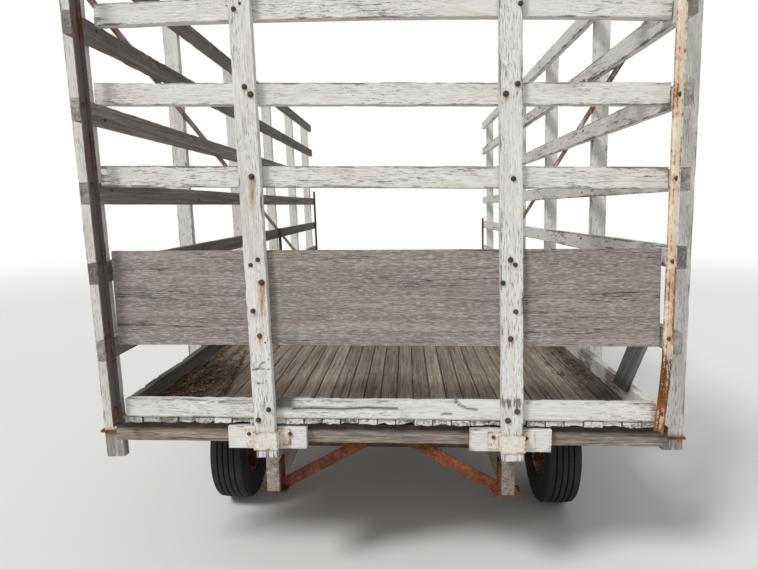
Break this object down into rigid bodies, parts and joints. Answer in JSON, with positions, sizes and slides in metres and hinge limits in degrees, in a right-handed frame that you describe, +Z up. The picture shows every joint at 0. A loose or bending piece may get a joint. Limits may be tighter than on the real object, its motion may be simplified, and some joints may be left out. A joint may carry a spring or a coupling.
{
  "type": "hay wagon",
  "caption": "Plank-bed farm hay wagon with tall slatted side and rear racks and an open front, on a steerable running gear with a drawbar tongue and clevis hitch.",
  "frame": {"origin": "on the ground, under the middle of the wagon's overall length and width", "axes": "+Y forward to the tongue, +X to the right seen from the rear end, +Z up"},
  "size_m": [2.6653, 6.9585, 2.9576],
  "materials": {
    "deck_wood": "bare weathered grey-brown boards",
    "bare_wood": "bare weathered timber",
    "white_wood": "peeling white paint over grey wood",
    "plywood": "unpainted weathered plywood",
    "rusty_steel": "rusted, traces of white paint",
    "gear_steel": "faded red-brown paint with rust",
    "rim_paint": "faded off-white paint with rust",
    "tyre": "ribbed implement tread, dusty"
  },
  "bodies": {
    "wagon": {"deck_boards": "deck_wood", "cross_sills": "bare_wood", "main_sills": "bare_wood", "side_rails": "bare_wood", "rear_curb": "white_wood", "side_curbs": "bare_wood", "side_posts_l": "white_wood", "side_posts_r": "white_wood", "side_boards_l": "white_wood", "side_boards_r": "white_wood", "brace_straps": "rusty_steel", "corner_uprights": "rusty_steel", "short_uprights": "rusty_steel", "rear_posts": "white_wood", "rear_slats": "white_wood", "rear_panel": "plywood", "side_pockets": "rusty_steel", "rear_blocks": "white_wood", "rear_pockets": "rusty_steel", "rear_v_brace": "rusty_steel", "corner_plank": "bare_wood", "rear_axle": "gear_steel", "rear_bolster": "gear_steel", "front_bolster": "gear_steel", "front_axle": "gear_steel", "reach_tube": "gear_steel", "reach_bar": "gear_steel", "rear_hounds": "gear_steel", "front_hounds": "gear_steel"},
    "wheel_rl": {"tyre_rl": "tyre", "rim_rl": "rim_paint"},
    "wheel_rr": {"tyre_rr": "tyre", "rim_rr": "rim_paint"},
    "wheel_fl": {"tyre_fl": "tyre", "rim_fl": "rim_paint"},
    "wheel_fr": {"tyre_fr": "tyre", "rim_fr": "rim_paint"},
    "knuckle_l": {"knuckle_l": "gear_steel"},
    "knuckle_r": {"knuckle_r": "gear_steel"},
    "steering_head": {"steering_head": "gear_steel"},
    "tongue": {"tongue": "gear_steel"},
    "tie_rod_l": {"tie_rod_l": "gear_steel"},
    "tie_rod_r": {"tie_rod_r": "gear_steel"}
  },
  "joints": [
    {"name": "wheel_rl_spin", "type": "hinge", "parent": "wagon", "child": "wheel_rl", "pos_m": [-0.9345, -2.42114, 0.355], "axis": [1, 0, 0], "continuous": true},
    {"name": "wheel_rr_spin", "type": "hinge", "parent": "wagon", "child": "wheel_rr", "pos_m": [0.9705, -2.42114, 0.355], "axis": [1, 0, 0], "continuous": true},
    {"name": "wheel_fl_spin", "type": "hinge", "parent": "knuckle_l", "child": "wheel_fl", "pos_m": [-0.9345, 1.17886, 0.355], "axis": [1, 0, 0], "continuous": true},
    {"name": "wheel_fr_spin", "type": "hinge", "parent": "knuckle_r", "child": "wheel_fr", "pos_m": [0.9705, 1.17886, 0.355], "axis": [1, 0, 0], "continuous": true},
    {"name": "steer", "type": "hinge", "parent": "wagon", "child": "steering_head", "pos_m": [0.018, 1.29886, 0.355], "axis": [0, 0, 1], "range_deg": [-30, 30]},
    {"name": "knuckle_l_turn", "type": "hinge", "parent": "wagon", "child": "knuckle_l", "pos_m": [-0.782, 1.17886, 0.355], "axis": [0, 0, 1], "range_deg": [-30, 30]},
    {"name": "knuckle_r_turn", "type": "hinge", "parent": "wagon", "child": "knuckle_r", "pos_m": [0.818, 1.17886, 0.355], "axis": [0, 0, 1], "range_deg": [-30, 30]},
    {"name": "tie_rod_l_turn", "type": "hinge", "parent": "steering_head", "child": "tie_rod_l", "pos_m": [-0.007, 1.44886, 0.375], "axis": [0, 0, 1], "range_deg": [-30, 30]},
    {"name": "tie_rod_r_turn", "type": "hinge", "parent": "steering_head", "child": "tie_rod_r", "pos_m": [0.043, 1.44886, 0.375], "axis": [0, 0, 1], "range_deg": [-30, 30]},
    {"name": "tongue_lift", "type": "hinge", "parent": "steering_head", "child": "tongue", "pos_m": [0.018, 1.57886, 0.355], "axis": [1, 0, 0], "range_deg": [0, 35]}
  ],
  "couplings": [
    {"joint": "knuckle_l_turn", "follows": "steer", "ratio": 1},
    {"joint": "knuckle_r_turn", "follows": "steer", "ratio": 1},
    {"joint": "tie_rod_l_turn", "follows": "steer", "ratio": -1},
    {"joint": "tie_rod_r_turn", "follows": "steer", "ratio": -1}
  ]
}
